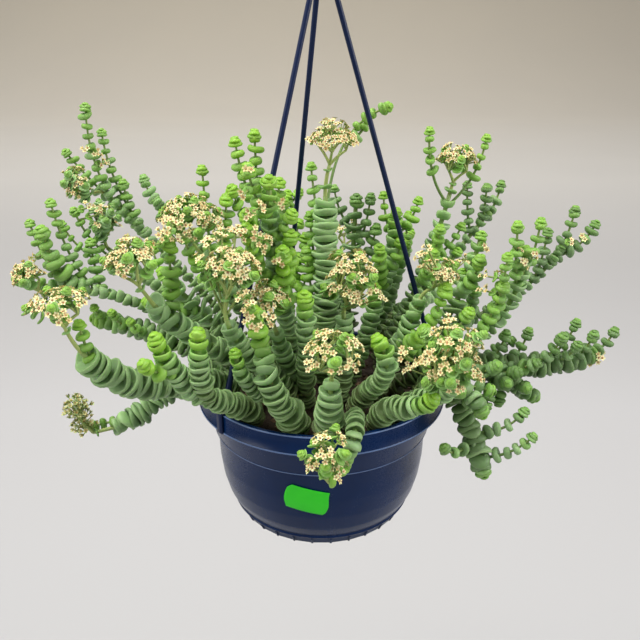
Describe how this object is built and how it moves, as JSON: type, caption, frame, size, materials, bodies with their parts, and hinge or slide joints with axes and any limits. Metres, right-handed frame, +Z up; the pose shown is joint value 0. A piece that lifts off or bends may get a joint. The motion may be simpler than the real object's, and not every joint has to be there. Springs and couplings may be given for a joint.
{
  "type": "potted crassula in a hanging pot",
  "caption": "Flowering crassula with stacked thick leaves and heads of small star flowers, in a plastic hanging pot with its drip saucer and a three-armed hanger.",
  "frame": {"origin": "seat of the hanger's hook, where the bar it hangs on touches the inside of the hook's top", "axes": "+Z up along the pot's axis, -Y towards the side that the picture shows, +X to the right in the picture"},
  "size_m": [0.357, 0.2438, 0.3626],
  "materials": {
    "pot": "satin navy plastic",
    "saucer": "satin dark navy plastic",
    "hanger": "satin navy plastic",
    "soil": "damp potting soil of peat and bark",
    "sticker": "bright green paper label, blank",
    "leaves": "smooth fleshy leaves with a dull waxy bloom",
    "flowers": "soft matt petals",
    "old_flowers": "dry faded flowers"
  },
  "bodies": {
    "root": {"pot": "pot", "drip_saucer": "saucer", "hanger": "hanger", "soil": "soil", "price_sticker": "sticker", "leafy_stem_back_left_high": "leaves", "leafy_stem_back_left_low": "leaves", "leafy_stem_back_low": "leaves", "leafy_stem_back_right_high": "leaves", "leafy_stem_back_right_low": "leaves", "leafy_stem_bright_front": "leaves", "leafy_stem_bright_shoots": "leaves", "leafy_stem_centre_fork": "leaves", "leafy_stem_centre_left": "leaves", "leafy_stem_centre_right": "leaves", "leafy_stem_dark_back": "leaves", "leafy_stem_front_centre": "leaves", "leafy_stem_front_droop": "leaves", "leafy_stem_front_left": "leaves", "leafy_stem_front_left_low": "leaves", "leafy_stem_front_right": "leaves", "leafy_stem_front_right_head": "leaves", "leafy_stem_front_right_up": "leaves", "leafy_stem_high_right": "leaves", "leafy_stem_left_back": "leaves", "leafy_stem_left_high": "leaves", "leafy_stem_left_long": "leaves", "leafy_stem_left_low": "leaves", "leafy_stem_left_mid": "leaves", "leafy_stem_left_spray": "leaves", "leafy_stem_left_up": "leaves", "leafy_stem_lime_right": "leaves", "leafy_stem_pale_right": "leaves", "leafy_stem_right_droop": "leaves", "leafy_stem_right_far": "leaves", "leafy_stem_right_long": "leaves", "leafy_stem_right_short": "leaves", "leafy_stem_right_up": "leaves", "leafy_stem_tall_centre": "leaves", "leafy_stem_up_left": "leaves", "flower_head_back": "flowers", "flower_head_back_left": "flowers", "flower_head_back_right": "flowers", "flower_head_centre": "flowers", "flower_head_centre_left": "flowers", "flower_head_centre_small": "flowers", "flower_head_far_left": "flowers", "flower_head_far_left_top": "flowers", "flower_head_front_big": "flowers", "flower_head_front_low": "flowers", "flower_head_left_big": "flowers", "flower_head_left_dark": "flowers", "flower_head_left_front": "flowers", "flower_head_left_middle": "flowers", "flower_head_old_left": "old_flowers", "flower_head_right_big": "flowers", "flower_head_right_pale": "flowers", "flower_head_right_top": "flowers", "flower_head_top": "flowers"}
  },
  "joints": []
}
